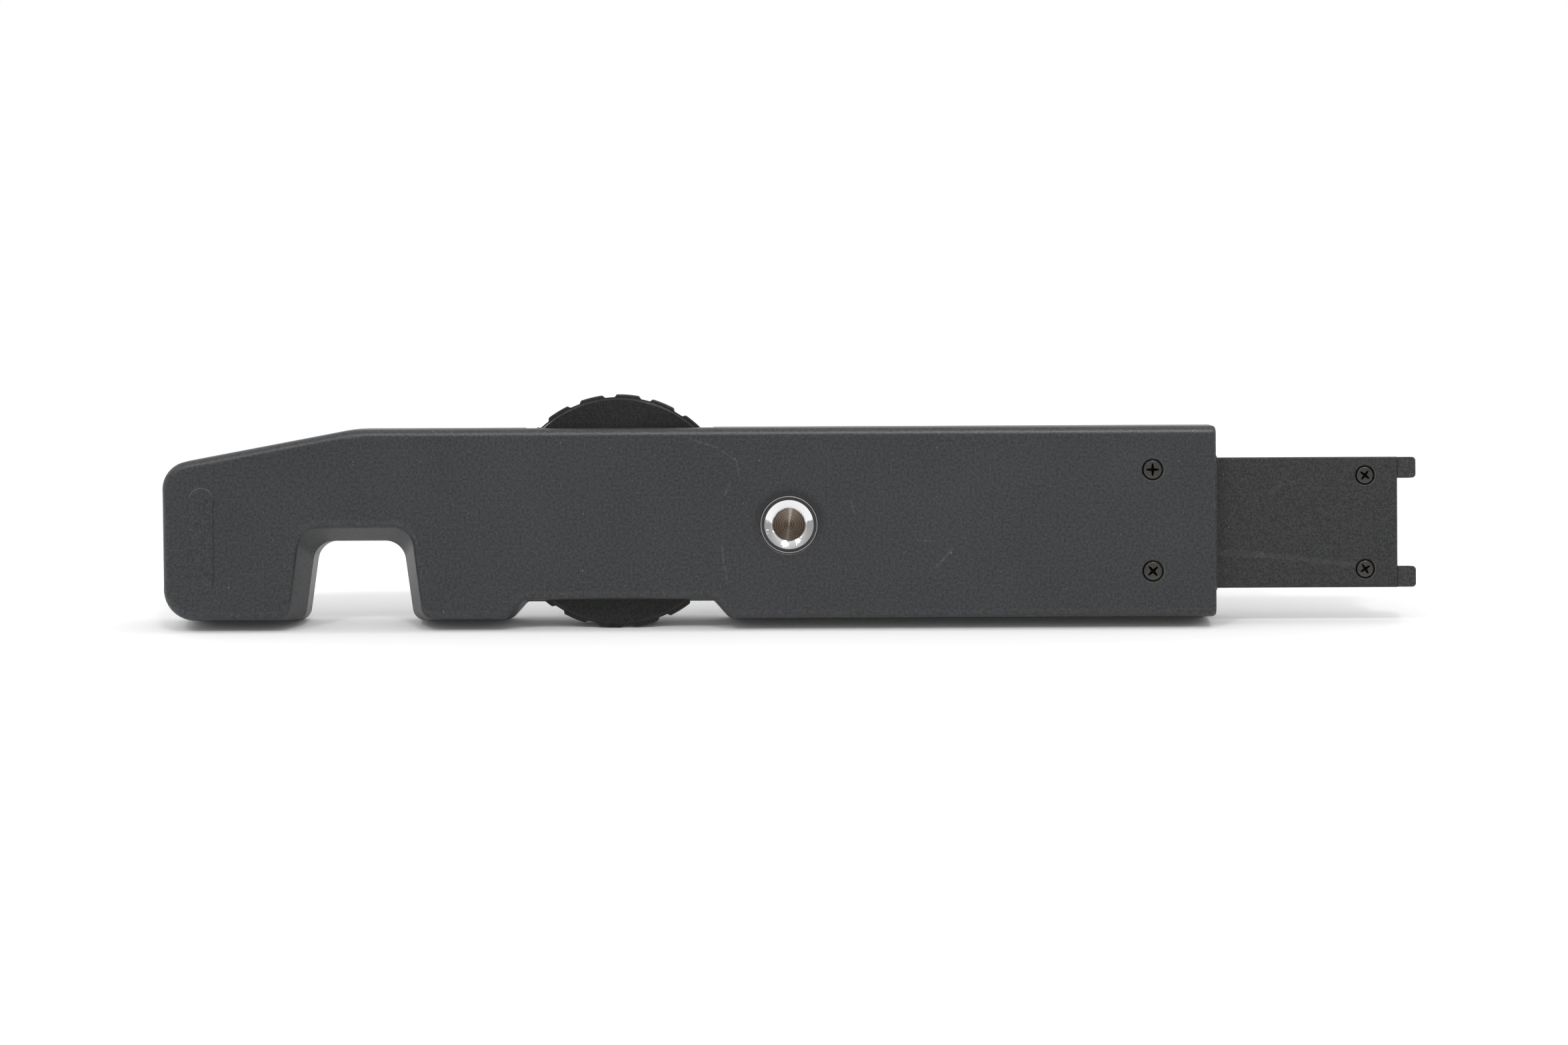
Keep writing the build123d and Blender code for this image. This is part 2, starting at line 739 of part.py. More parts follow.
# Fork end: tongue in the bar's pocket and two prongs past the bar's end
prong_outer = bar_half - fork_inset
prong_middle = prong_outer - prong_height / 2
prong_root = bar_reach + fork_inset
with BuildPart() as fork_end:
    with Locations(((fork_root + prong_root) / 2, bar_back - fork_depth / 2, 0)):
        Box(prong_root - fork_root, fork_depth, 2 * prong_outer)
    with BuildSketch(at_depth(bar_front + fork_inset)):
        with Locations((prong_root + prong_reach / 2, 0)):
            with GridLocations(prong_reach, 2 * prong_middle, 1, 2):
                Rectangle(prong_reach, prong_height)
    extrude(amount=fork_inset - bar_thickness)
    fillet(edges().filter_by(Axis.Y).group_by(Axis.X)[-1], prong_round)
    with BuildSketch(at_depth(bar_back)):
        with Locations(*bar_screw_spots):
            Circle(bar_shank + thread_fit)
    extrude(amount=fork_depth, mode=Mode.SUBTRACT)
fork_end.part.label = "fork_end"
export_step(fork_end.part, "parts/fork_end.step")

# Stop pin: across the bar's inner end, meets the sleeve when the bar is pulled out
with BuildPart() as stop_pin:
    with Locations((pin_x, bar_mid, 0)):
        Cylinder(pin_radius, bar_width + 2 * pin_overhang)
stop_pin.part.label = "stop_pin"
export_step(stop_pin.part, "parts/stop_pin.step")

# Drag ball and its spring, in the sleeve's back wall
with BuildPart() as drag_ball:
    with Locations((ball_x, ball_y, 0)):
        Sphere(ball_radius)
drag_ball.part.label = "drag_ball"
export_step(drag_ball.part, "parts/drag_ball.step")

coil_radius = ball_radius + pocket_clearance - spring_clearance - spring_wire / 2
coil_end = frame_rear + pocket_depth - spring_wire / 2 - spring_fit
coil_start = ball_y + math.sqrt((ball_radius + spring_wire / 2) ** 2 - coil_radius**2) + spring_fit
with BuildPart() as drag_spring:
    with BuildLine() as coil:
        Helix(
            pitch=spring_pitch,
            height=coil_end - coil_start,
            radius=coil_radius,
            center=(ball_x, coil_start, 0),
            direction=(0, 1, 0),
        )
    with BuildSketch(Plane(origin=coil.line @ 0, z_dir=coil.line % 0)):
        Circle(spring_wire / 2)
    sweep(path=coil.line, is_frenet=True)
drag_spring.part.label = "drag_spring"
export_step(drag_spring.part, "parts/drag_spring.step")

# Body screws: two from the tripod face into the sleeve
body_screw = pan_screw(pan_head_radius, pan_head_height, pan_shank, body_screw_length)
with BuildPart() as body_screws:
    for (x, z), turn in zip(body_screw_spots, (0, 40)):
        with Locations(facing_tripod(x, pan_head_height + pan_head_sink, z, turn)):
            add(body_screw)
body_screws.part.label = "body_screws"
export_step(body_screws.part, "parts/body_screws.step")

# Bar screws: two from the bar's face into the fork
bar_screw = pan_screw(bar_head_radius, bar_head_height, bar_shank, bar_screw_length)
with BuildPart() as bar_screws:
    for (x, z), turn in zip(bar_screw_spots, (55, 30)):
        with Locations(facing_tripod(x, bar_front + bar_head_height + bar_head_sink, z, turn)):
            add(bar_screw)
bar_screws.part.label = "bar_screws"
export_step(bar_screws.part, "parts/bar_screws.step")

# Sleeve screws: two from the camera side, through the frame plate into the sleeve's side walls
rear_seat = body_depth - pan_head_height - pan_head_sink
sleeve_screw = pan_screw(pan_head_radius, pan_head_height, pan_shank, sleeve_screw_length)
with BuildPart() as sleeve_screws:
    for (x, z), turn in zip(sleeve_screw_spots, (15, 70)):
        with Locations(facing_camera(x, rear_seat, z, turn)):
            add(sleeve_screw)
sleeve_screws.part.label = "sleeve_screws"
export_step(sleeve_screws.part, "parts/sleeve_screws.step")

# Housing screws: three from the camera side into the cover's bosses
housing_screw = pan_screw(pan_head_radius, pan_head_height, pan_shank, housing_screw_length)
with BuildPart() as housing_screws:
    for (x, z), turn in zip(housing_screw_spots, (10, 52, 33)):
        with Locations(facing_camera(x, rear_seat, z, turn)):
            add(housing_screw)
housing_screws.part.label = "housing_screws"
export_step(housing_screws.part, "parts/housing_screws.step")

# Frame screws: two countersunk ones under the pad, through the frame plate into the cover
frame_screw = flat_screw(flat_head_radius, flat_head_height, flat_shank, frame_screw_length)
with BuildPart() as frame_screws:
    for x, z in frame_screw_spots:
        with Locations(facing_camera(x, pad_floor, z)):
            add(frame_screw)
frame_screws.part.label = "frame_screws"
export_step(frame_screws.part, "parts/frame_screws.step")
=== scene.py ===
import math

import bmesh
import bpy
import numpy as np
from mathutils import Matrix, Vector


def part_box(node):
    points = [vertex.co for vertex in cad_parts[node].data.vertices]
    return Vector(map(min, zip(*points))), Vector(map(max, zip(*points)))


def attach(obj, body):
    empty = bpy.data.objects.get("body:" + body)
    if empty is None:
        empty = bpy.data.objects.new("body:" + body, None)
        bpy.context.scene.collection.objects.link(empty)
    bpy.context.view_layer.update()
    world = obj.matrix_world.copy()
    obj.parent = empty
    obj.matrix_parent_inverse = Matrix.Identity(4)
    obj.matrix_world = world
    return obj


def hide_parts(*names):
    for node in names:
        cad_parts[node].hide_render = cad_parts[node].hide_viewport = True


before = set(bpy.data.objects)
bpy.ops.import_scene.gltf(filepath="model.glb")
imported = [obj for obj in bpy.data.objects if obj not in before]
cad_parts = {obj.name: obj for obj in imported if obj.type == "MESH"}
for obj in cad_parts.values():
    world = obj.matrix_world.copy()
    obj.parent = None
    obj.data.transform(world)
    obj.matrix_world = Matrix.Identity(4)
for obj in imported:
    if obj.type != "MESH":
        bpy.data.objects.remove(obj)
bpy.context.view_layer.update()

mm = 0.001


# A shader socket that takes part in sums: values and other sockets mix freely.
class Flow:
    def __init__(self, tree, socket=None):
        self.tree = tree
        self.socket = socket

    def node(self, kind, settings=None, inputs=None, out=0):
        made = self.tree.nodes.new(kind)
        for name, value in (settings or {}).items():
            setattr(made, name, value)
        for name, value in (inputs or {}).items():
            if isinstance(value, Flow):
                self.tree.links.new(value.socket, made.inputs[name])
            else:
                made.inputs[name].default_value = value
        return Flow(self.tree, made.outputs[out])

    def math(self, operation, *values):
        return self.node("ShaderNodeMath", {"operation": operation}, dict(enumerate(values)))

    def __add__(self, other):
        return self.math("ADD", self, other)

    __radd__ = __add__

    def __sub__(self, other):
        return self.math("SUBTRACT", self, other)

    def __rsub__(self, other):
        return self.math("SUBTRACT", other, self)

    def __mul__(self, other):
        return self.math("MULTIPLY", self, other)

    __rmul__ = __mul__

    def __truediv__(self, other):
        return self.math("DIVIDE", self, other)

    def __pow__(self, other):
        return self.math("POWER", self, other)

    def __abs__(self):
        return self.math("ABSOLUTE", self)

    def ramp(self, low, high):
        # 0 below low, 1 above high, eased between
        return self.node(
            "ShaderNodeMapRange",
            {"interpolation_type": "SMOOTHSTEP"},
            {"Value": self, "From Min": low, "From Max": high},
        )

    def axes(self):
        # The three parts of a vector
        parts = self.node("ShaderNodeSeparateXYZ", {}, {0: self})
        outputs = parts.socket.node.outputs
        return [Flow(self.tree, outputs[i]) for i in range(3)]


def newMaterial(name, **fixed):
    # A Principled material and the flow to build on; fixed values sit on the shader's own sockets
    material = bpy.data.materials.new(name)
    material.use_nodes = True
    tree = material.node_tree
    tree.nodes.clear()
    shader = tree.nodes.new("ShaderNodeBsdfPrincipled")
    output = tree.nodes.new("ShaderNodeOutputMaterial")
    tree.links.new(shader.outputs[0], output.inputs["Surface"])
    for socket, value in fixed.items():
        shader.inputs[socket.replace("_", " ")].default_value = value
    return material, shader, Flow(tree)


def feed(shader, flow, **linked):
    for socket, value in linked.items():
        flow.tree.links.new(value.socket, shader.inputs[socket.replace("_", " ")])


def place(flow, shift=(0, 0, 0), turn=(0, 0, 0), scale=(1, 1, 1)):
    # Object coordinates in millimetres, moved, turned and stretched
    here = flow.node("ShaderNodeTexCoord", out="Object")
    grown = flow.node(
        "ShaderNodeMapping",
        {"vector_type": "POINT"},
        {"Vector": here, "Scale": (1 / mm, 1 / mm, 1 / mm)},
    )
    return flow.node(
        "ShaderNodeMapping",
        {"vector_type": "TEXTURE"},
        {"Vector": grown, "Location": shift, "Rotation": turn, "Scale": scale},
    )


def noise(flow, where, scale, detail=2.0, roughness=0.5):
    return flow.node(
        "ShaderNodeTexNoise",
        {},
        {"Vector": where, "Scale": scale, "Detail": detail, "Roughness": roughness},
    )


def dots(flow, where, scale, size):
    # 1 at the middle of scattered points, 0 away from them
    near = flow.node("ShaderNodeTexVoronoi", {}, {"Vector": where, "Scale": scale})
    core = 0.3 * size
    return 1 - near.ramp(core, size)


def blend(flow, factor, low, high):
    # One colour passing into another
    return flow.node(
        "ShaderNodeMix",
        {"data_type": "RGBA"},
        {0: factor, 6: low, 7: high},
        out=2,
    )


def bump(flow, height, distance, strength):
    return flow.node(
        "ShaderNodeBump",
        {},
        {"Height": height, "Distance": distance * mm, "Strength": strength},
    )


def grey(level, tint=(1, 1, 1)):
    return (level * tint[0], level * tint[1], level * tint[2], 1)


def scratches(flow, turn, spacing, cut):
    # Fine straight lines: noise drawn out along one direction and cut high, then broken up by a
    # second, softer noise
    length, layer, fade, patchPerMm = 26 * spacing, 3, 0.07, 0.09
    long = place(flow, turn=(0, turn, 0), scale=(length, layer, spacing))
    lines = noise(flow, long, 1.0, 3.0, 0.6).ramp(cut, cut + fade)
    elsewhere = place(flow, shift=(7 * spacing, 0, turn))
    patches = noise(flow, elsewhere, patchPerMm, 1.0).ramp(0.45, 0.65)
    return lines * patches


def distance(u, v):
    return (u * u + v * v) ** 0.5


def stroke(x, z, mark):
    # A soft line between two points: 1 along the middle, 0 beyond half its width
    startX, startZ, endX, endZ, width = mark
    runX, runZ = endX - startX, endZ - startZ
    along = ((x - startX) * runX + (z - startZ) * runZ) / (runX**2 + runZ**2)
    along = along.math("MINIMUM", along.math("MAXIMUM", along, 0.0), 1.0)
    away = distance(x - startX - along * runX, z - startZ - along * runZ)
    core, edge = 0.1 * width, 0.5 * width
    return 1 - away.ramp(core, edge)


def recessHighlights(x, z, node, head, radius):
    # A painted highlight on the lit side of the edge round each screw's recess: 1 on a thin arc to
    # the lower right
    low, high = inMillimetres(node)
    outside, core, edge = 0.04, 0.03, 0.1
    rimHighlights = 0.0
    for middleX, middleZ in ((low[0] + head, high[2] - head), (high[0] - head, low[2] + head)):
        across, rise = x - middleX, z - middleZ
        ring = 1 - abs(distance(across, rise) - radius - outside).ramp(core, edge)
        rimHighlights = rimHighlights + ring * (across - rise).ramp(-0.6, 1.2)
    return rimHighlights


def dress(node, material):
    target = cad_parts[node]
    target.data.materials.clear()
    target.data.materials.append(material)


def middle(node):
    low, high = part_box(node)
    return [(a + b) / 2 / mm for a, b in zip(low, high)]


def inMillimetres(node):
    return np.array(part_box(node)) / mm


def softened(profile, reach, steps):
    # Each corner of a profile becomes a short curve: a quadratic from one side to the other that
    # starts and ends a set reach from the corner, or under half a side where the side is short
    profile = np.asarray(profile, float)
    corner = profile[1:-1]
    before, after = profile[:-2] - corner, profile[2:] - corner
    beforeLength = np.linalg.norm(before, axis=1, keepdims=True)
    afterLength = np.linalg.norm(after, axis=1, keepdims=True)
    most = 0.45
    start = corner + before / beforeLength * np.minimum(reach, most * beforeLength)
    end = corner + after / afterLength * np.minimum(reach, most * afterLength)
    t = np.linspace(0, 1, steps + 1)[None, :, None]
    curve = (1 - t) ** 2 * start[:, None] + 2 * t * (1 - t) * corner[:, None] + t**2 * end[:, None]
    return np.concatenate([profile[:1], curve.reshape(-1, profile.shape[1]), profile[-1:]])


def ridge(phase, flat):
    # A thread's section over one turn: up one flank, along a flat crest, down the other flank
    saw = np.abs((phase % 1.0) - 0.5) * 2
    return np.clip((saw - flat) / (1 - 2 * flat), 0, 1)


weldReach = 0.0008
sharpBeyond = 38


def grow(name, grids, body, replaced, material):
    # One mesh from grids of points in millimetres, each closed round its second parameter
    mesh = bpy.data.meshes.new(name)
    vertices, faces, first = [], [], 0
    for grid in grids:
        rows, columns = grid.shape[:2]
        index = first + np.arange(rows * columns).reshape(rows, columns)
        turned = np.roll(index, -1, axis=1)
        quads = np.stack([index[:-1], turned[:-1], turned[1:], index[1:]], axis=-1)
        vertices.append(grid.reshape(-1, 3) * mm)
        faces.append(quads.reshape(-1, 4))
        first += rows * columns
    mesh.from_pydata(np.concatenate(vertices).tolist(), [], np.concatenate(faces).tolist())
    work = bmesh.new()
    work.from_mesh(mesh)
    bmesh.ops.remove_doubles(work, verts=work.verts, dist=weldReach * mm)
    bmesh.ops.recalc_face_normals(work, faces=work.faces)
    work.to_mesh(mesh)
    work.free()
    mesh.shade_smooth()
    mesh.set_sharp_from_angle(angle=math.radians(sharpBeyond))
    mesh.materials.append(material)
    piece = bpy.data.objects.new(name, mesh)
    bpy.context.scene.collection.objects.link(piece)
    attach(piece, body)
    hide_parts(replaced)


def turned(profile, angles, radius=None):
    # Round the depth axis: every profile point (radius, depth) at every angle; radius may be given
    # as a whole grid where it changes with the angle
    profile = np.asarray(profile, float)
    reach = profile[:, :1] if radius is None else radius
    depth = np.broadcast_to(profile[:, 1:2], (len(profile), len(angles)))
    return np.stack([reach * np.cos(angles), depth, reach * np.sin(angles)], axis=-1)


print("body finish")
# Lengths are in millimetres. A stroke is its two ends, each across and up, and its width. The oval
# is its middle, half its straight run and its radius
bodyLook = {
    "dark": (0.0083, 0.009, 0.01, 1),
    "light": (0.0433, 0.0456, 0.0486, 1),
    "mark": grey(0.16),
    "roughness": (0.34, 0.43),
    "rubGloss": 0.06,
    "grainPerMm": 2.6,
    "grainShare": 0.8,
    "grainDepth": 0.07,
    "cloudPerMm": 0.06,
    "wearPerMm": 1.6,
    "speckSpacing": 0.75,
    "speckSize": 0.075,
    "specksSeen": (0.46, 0.7),
    "speckShade": 0.4,
    "scratches": ((0.35, 0.2, 0.68), (-0.75, 0.18, 0.7), (2.3, 0.18, 0.7)),
    "scratchShare": 0.7,
    "strokes": (
        (-15.8, 13.8, -11.3, 12.3, 0.5),
        (-11.3, 12.3, -8.6, 10.4, 0.35),
        (-8.5, 10.6, -8.0, 8.2, 0.5),
        (-9.2, 6.8, -10.5, 4.3, 0.6),
        (-10.8, -3.2, -9.9, -9.2, 0.55),
        (20.6, -2.6, 23.3, -2.75, 0.4),
        (23.3, -7.0, 26.1, -4.0, 0.7),
        (9.9, 3.8, 10.4, 1.9, 0.35),
        (37.5, 12.6, 39.0, 13.4, 0.25),
    ),
    # The painted shade ring round the socket: its inner and outer radius, then its colour
    "paintedShadeRadius": (4.7, 6.4),
    "paintedShadeColour": 0.006,
    "oval": (-93.85, -2.25, 6.5, 1.95),
    # Colour of the painted shade down the oval's right side
    "paintedOvalShadeColour": 0.008,
    "parting": 6.4,
    "partingWidth": (0.1, 0.17),
    "partingShade": 0.003,
    "screwHead": 1.5,
    "recessRadius": 1.75,
    "strengths": {"rubs": 0.3, "oval": 0.4, "recess": 0.35, "paintedOvalShade": 0.5, "paintedShadeRing": 0.8, "specks": 0.9},
}


def bodyPlastic(values):
    material, shader, flow = newMaterial("bodyPlastic", IOR=1.5)
    where = place(flow)
    x, y, z = where.axes()
    onFace = 1 - y.ramp(0.15, 0.5)
    strengths = values["strengths"]
    grain = noise(flow, where, values["grainPerMm"], 4.0, 0.7)
    cloud = noise(flow, where, values["cloudPerMm"], 3.0, 0.6)
    rubs = 0.0
    for turn, spacing, cut in values["scratches"]:
        rubs = rubs + scratches(flow, turn, spacing, cut)
    worn = noise(flow, where, values["wearPerMm"], 3.0, 0.7).ramp(0.36, 0.66)
    drawn = 0.0
    for mark in values["strokes"]:
        drawn = drawn + stroke(x, z, mark)
    rubs = rubs * values["scratchShare"] + drawn * worn * onFace
    specks = dots(flow, where, values["speckSpacing"], values["speckSize"])
    specks = specks * noise(flow, where, 0.35, 2.0).ramp(*values["specksSeen"])
    # Painted shade: a darker ring round the socket, strongest above it, for the plastic's rounded
    # edge at the hole
    around = 1 - distance(x, z).ramp(*values["paintedShadeRadius"])
    paintedShadeRing = around * onFace * (0.25 + 0.75 * z.ramp(-3, 3))
    # The raised oval's edge: a painted highlight along its top and painted shade down its right
    # side
    middleX, middleZ, halfRun, rim = values["oval"]
    across = x - middleX
    rise = z - middleZ
    past = rise.math("MAXIMUM", abs(rise) - halfRun, 0.0)
    edge = (1 - abs(distance(across, past) - rim).ramp(0.03, 0.13)) * onFace
    paintedOvalHighlight = edge * rise.ramp(6.3, 7.8)
    paintedOvalShade = edge * across.ramp(1.2, 1.8) * (1 - rise.ramp(5.5, 7.5))
    share = values["grainShare"]
    tone = grain.ramp(0.34, 0.66) * share + cloud * (1 - share)
    shade = blend(flow, tone, values["dark"], values["light"])
    shade = blend(flow, paintedShadeRing * strengths["paintedShadeRing"], shade, grey(values["paintedShadeColour"]))
    shade = blend(flow, paintedOvalShade * strengths["paintedOvalShade"], shade, grey(values["paintedOvalShadeColour"]))
    # Painted highlight on the lit side of each screw recess's edge
    rimHighlights = recessHighlights(x, z, "body_screws", values["screwHead"], values["recessRadius"])
    rimHighlights = rimHighlights * (1 - y.ramp(0.02, 0.2))
    # Light wear marks and the painted highlights on the oval's top and the recess edges share one
    # lighter colour
    wearAndHighlights = rubs * strengths["rubs"] + paintedOvalHighlight * strengths["oval"] + rimHighlights * strengths["recess"]
    shade = blend(flow, wearAndHighlights, shade, values["mark"])
    shade = blend(flow, specks * strengths["specks"], shade, grey(values["speckShade"]))
    seam = 1 - abs(y - values["parting"]).ramp(*values["partingWidth"])
    shade = blend(flow, seam, shade, grey(values["partingShade"]))
    smooth, rough = values["roughness"]
    feed(
        shader, flow,
        Base_Color=shade,
        Roughness=smooth + (rough - smooth) * cloud - rubs * values["rubGloss"],
        Normal=bump(flow, grain + rubs * 0.2, values["grainDepth"], 0.6),
    )
    return material


bodyFinish = bodyPlastic(bodyLook)
for node in ("base_cover", "platform_shell"):
    dress(node, bodyFinish)

print("bar and fork finish")
barLook = {
    "dark": (0.0045, 0.0046, 0.005, 1),
    "light": (0.033, 0.0337, 0.0351, 1),
    "roughness": (0.44, 0.6),
    "grainPerMm": 3.4,
    "grainDepth": 0.06,
    "drawnSize": (30, 1, 0.25),
    "mark": grey(0.2),
    "speckShade": 0.3,
    "busyUntil": (70, 84),
    "screwHead": 1.35,
    "recessRadius": 1.6,
    "strengths": {"drawn": 0.04, "scuffs": 0.075, "recess": 0.3, "fine": 0.6},
    "scuffs": (
        (68.0, -4.9, 76.0, -5.2, 1.7),
        (76.0, -5.2, 91.0, -6.9, 1.3),
        (94.6, 2.0, 97.4, 2.15, 0.35),
        (77.5, 4.6, 79.2, 6.4, 1.0),
        (80.9, 6.4, 81.9, 6.9, 0.35),
        (70.2, -7.6, 70.9, -7.0, 0.5),
    ),
}


def barMetal(values):
    material, shader, flow = newMaterial("blackAnodised", IOR=1.45)
    where = place(flow)
    x, y, z = where.axes()
    strengths = values["strengths"]
    grain = noise(flow, where, values["grainPerMm"], 4.0, 0.72)
    drawn = noise(flow, place(flow, scale=values["drawnSize"]), 1.0, 3.0, 0.6).ramp(0.64, 0.78)
    near = 0.35 + 0.65 * (1 - x.ramp(*values["busyUntil"]))
    specks = dots(flow, where, 1.0, 0.08) * noise(flow, where, 0.5, 2.0).ramp(0.4, 0.6) * near
    fine = dots(flow, place(flow, shift=(3, 1, 2)), 2.2, 0.1) * near
    patchy = noise(flow, place(flow, scale=(1.5, 1, 1)), 1.1, 3.0, 0.7).ramp(0.34, 0.66)
    scuffs = 0.0
    for mark in values["scuffs"]:
        scuffs = scuffs + stroke(x, z, mark)
    shade = blend(flow, grain.ramp(0.34, 0.66), values["dark"], values["light"])
    front = inMillimetres("bar_screws")[0, 1]
    # Painted highlight on the lit side of each screw recess's edge
    rimHighlights = recessHighlights(x, z, "bar_screws", values["screwHead"], values["recessRadius"])
    rimHighlights = rimHighlights * (1 - y.ramp(front - 0.1, front + 0.3))
    worn = scuffs * (0.4 + 0.6 * patchy) * strengths["scuffs"]
    # Light scuffs and the painted highlights on the recess edges share one lighter colour
    wearAndHighlights = drawn * strengths["drawn"] + worn + rimHighlights * strengths["recess"]
    shade = blend(flow, wearAndHighlights, shade, values["mark"])
    shade = blend(flow, specks + strengths["fine"] * fine, shade, grey(values["speckShade"]))
    smooth, rough = values["roughness"]
    feed(
        shader, flow,
        Base_Color=shade,
        Roughness=smooth + (rough - smooth) * grain,
        Normal=bump(flow, grain, values["grainDepth"], 0.7),
    )
    return material


forkLook = {
    "dark": (0.003, 0.0026, 0.0028, 1),
    "light": (0.0405, 0.037, 0.0395, 1),
    "seamShade": 0.004,
    "seamWidth": (0.1, 0.28),
    "speckShade": 0.2,
    "roughness": 0.5,
    "grainPerMm": 2.8,
    "grainDepth": 0.04,
}


def forkPlastic(values):
    # Darker in the narrow seam where the fork meets the bar's end
    material, shader, flow = newMaterial("forkPlastic", IOR=1.5)
    where = place(flow)
    grain = noise(flow, where, values["grainPerMm"], 3.0, 0.65)
    cloud = noise(flow, where, 0.3, 2.0)
    barEnd = inMillimetres("slide_bar")[1, 0]
    near, far = values["seamWidth"]
    seam = 1 - where.axes()[0].ramp(barEnd + near, barEnd + far)
    shade = blend(flow, grain.ramp(0.32, 0.68), values["dark"], values["light"])
    shade = blend(flow, seam, shade, grey(values["seamShade"]))
    specks = dots(flow, where, 1.4, 0.1)
    feed(
        shader, flow,
        Base_Color=blend(flow, specks, shade, grey(values["speckShade"])),
        Roughness=values["roughness"] + 0.12 * cloud,
        Normal=bump(flow, grain, values["grainDepth"], 0.7),
    )
    return material


dress("slide_bar", barMetal(barLook))
dress("fork_end", forkPlastic(forkLook))

print("finishes of the inside")


def machined(name, shade, roughness, metallic, stretch, contrast):
    # Drawn, turned or rolled metal: noise stretched one way over colour and gloss
    material, shader, flow = newMaterial(name, Metallic=metallic)
    streak = noise(flow, place(flow, scale=stretch), 3.0, 3.0, 0.6)
    low = tuple(part * (1 - contrast) for part in shade) + (1,)
    high = tuple(min(1.0, part * (1 + contrast)) for part in shade) + (1,)
    feed(
        shader, flow,
        Base_Color=blend(flow, streak, low, high),
        Roughness=roughness + 0.18 * (streak - 0.5),
        Normal=bump(flow, streak, 0.01, 0.5),
    )
    return material


# Material name, colour, roughness, metallic, stretch of the streaks and their contrast
insideLook = {
    "frame_plate": ("rolledSteel", (0.56, 0.57, 0.58), 0.38, 1.0, (8, 1, 1), 0.12),
    "guide_sleeve": ("castAluminium", (0.7, 0.7, 0.71), 0.42, 1.0, (6, 1, 1), 0.1),
    "screw_bush": ("turnedBrass", (0.72, 0.55, 0.27), 0.28, 1.0, (4, 0.3, 4), 0.12),
    "wheel_washer": ("nylon", (0.8, 0.79, 0.73), 0.5, 0.0, (1, 1, 1), 0.05),
    "stop_pin": ("groundSteel", (0.6, 0.6, 0.6), 0.25, 1.0, (1, 1, 6), 0.1),
    "drag_ball": ("polishedSteel", (0.65, 0.65, 0.66), 0.12, 1.0, (1, 1, 1), 0.05),
    "drag_spring": ("springSteel", (0.55, 0.55, 0.56), 0.3, 1.0, (1, 1, 1), 0.1),
    "frame_screws": ("blackenedSteel", (0.05, 0.048, 0.042), 0.4, 0.6, (1, 1, 1), 0.2),
}
for node, look in insideLook.items():
    dress(node, machined(*look))


padLook = {
    "dark": grey(0.014),
    "light": grey(0.024),
    "dust": grey(0.07),
    "dustShare": 0.3,
    "roughness": 0.66,
    "grainPerMm": 6.0,
    "grainDepth": 0.03,
}


def padRubber(values):
    material, shader, flow = newMaterial("padRubber", IOR=1.48)
    where = place(flow)
    fine = noise(flow, where, values["grainPerMm"], 3.0, 0.6)
    dust = noise(flow, where, 0.4, 3.0, 0.65).ramp(0.5, 0.75)
    shade = blend(flow, fine, values["dark"], values["light"])
    feed(
        shader, flow,
        Base_Color=blend(flow, dust * values["dustShare"], shade, values["dust"]),
        Roughness=values["roughness"] + 0.15 * dust,
        Normal=bump(flow, fine, values["grainDepth"], 0.8),
    )
    return material


dress("camera_pad", padRubber(padLook))

print("thumbwheel")
wheelLook = {
    "shade": ((0.0012, 0.0013, 0.0012, 1), (0.024, 0.0222, 0.0222, 1)),
    # The bevel's painted highlight: its colour, its outer and inner reach in from the step, and its
    # strength; then how much glossier the bevel is
    "bevelHighlightShade": (0.06, 0.05, 0.048, 1),
    "bevelHighlightWidth": (0.3, 0.24),
    "bevelHighlightShare": 0.25,
    "bevelGloss": 0.6,
    "roughness": 0.34,
    "grainPerMm": 4.5,
    "grainDepth": 0.006,
    "root": 18.3,
    "teeth": 20,
    "firstTooth": math.radians(85.4),
    "toothHeight": 0.45,
    "toothTop": 3.48,
    "toothBase": 4.2,
    "toothRise": (0.0, 0.0, 0.3, 0.75, 1.0, 1.0, 0.75, 0.3, 0.0, 0.0),
    "toothStart": (0.0, 0.03, 0.035, 0.06, 0.16, -0.16, -0.06, -0.035, -0.03, 0.0),
    "bevel": 0.22,
    "shoulder": 0.2,
    "rimWidth": 2.8,
    "reliefDepth": 1.2,
    "reliefInner": 1.2,
    "hubRadius": 6.0,
    "hubHeight": 0.5,
    "boreRadius": 3.05,
    "boreDepth": 2.4,
    "acrossFlats": 11.0,
    "hexWall": 1.65,
    "headDepth": 3.2,
    "columns": 720,
    "frontSoftness": 0.05,
    "rearSoftness": 0.08,
}


def hexagon(angles, acrossFlats):
    # Distance from the middle to a hexagon's side at each angle
    return acrossFlats / 2 / np.cos((angles + np.pi / 6) % (np.pi / 3) - np.pi / 6)


def wheelPlastic(values):
    material, shader, flow = newMaterial("wheelPlastic", IOR=1.34)
    # The bevel of the front face is glossier, and lighter in colour as a painted highlight on its
    # thin ring
    where = place(flow)
    x, _, z = where.axes()
    centreX, _, centreZ = middle("camera_screw")
    away = distance(x - centreX, z - centreZ)
    step = values["root"] - values["shoulder"]
    outer, inner = values["bevelHighlightWidth"]
    # Painted highlight: the bevel's thin ring is lighter in colour
    worn = away.ramp(step - outer, step - inner) * (1 - away.ramp(step, step + 0.02))
    fine = noise(flow, where, values["grainPerMm"], 3.0, 0.7)
    cloud = noise(flow, where, 0.15, 2.0)
    dark, light = values["shade"]
    shade = blend(flow, fine.ramp(0.36, 0.66) * 0.8 + cloud * 0.2, dark, light)
    feed(
        shader, flow,
        Base_Color=blend(flow, worn * values["bevelHighlightShare"], shade, values["bevelHighlightShade"]),
        Roughness=(values["roughness"] + 0.12 * cloud) * (1 - values["bevelGloss"] * worn),
        Normal=bump(flow, fine * (1 - worn), values["grainDepth"], 0.5),
    )
    return material


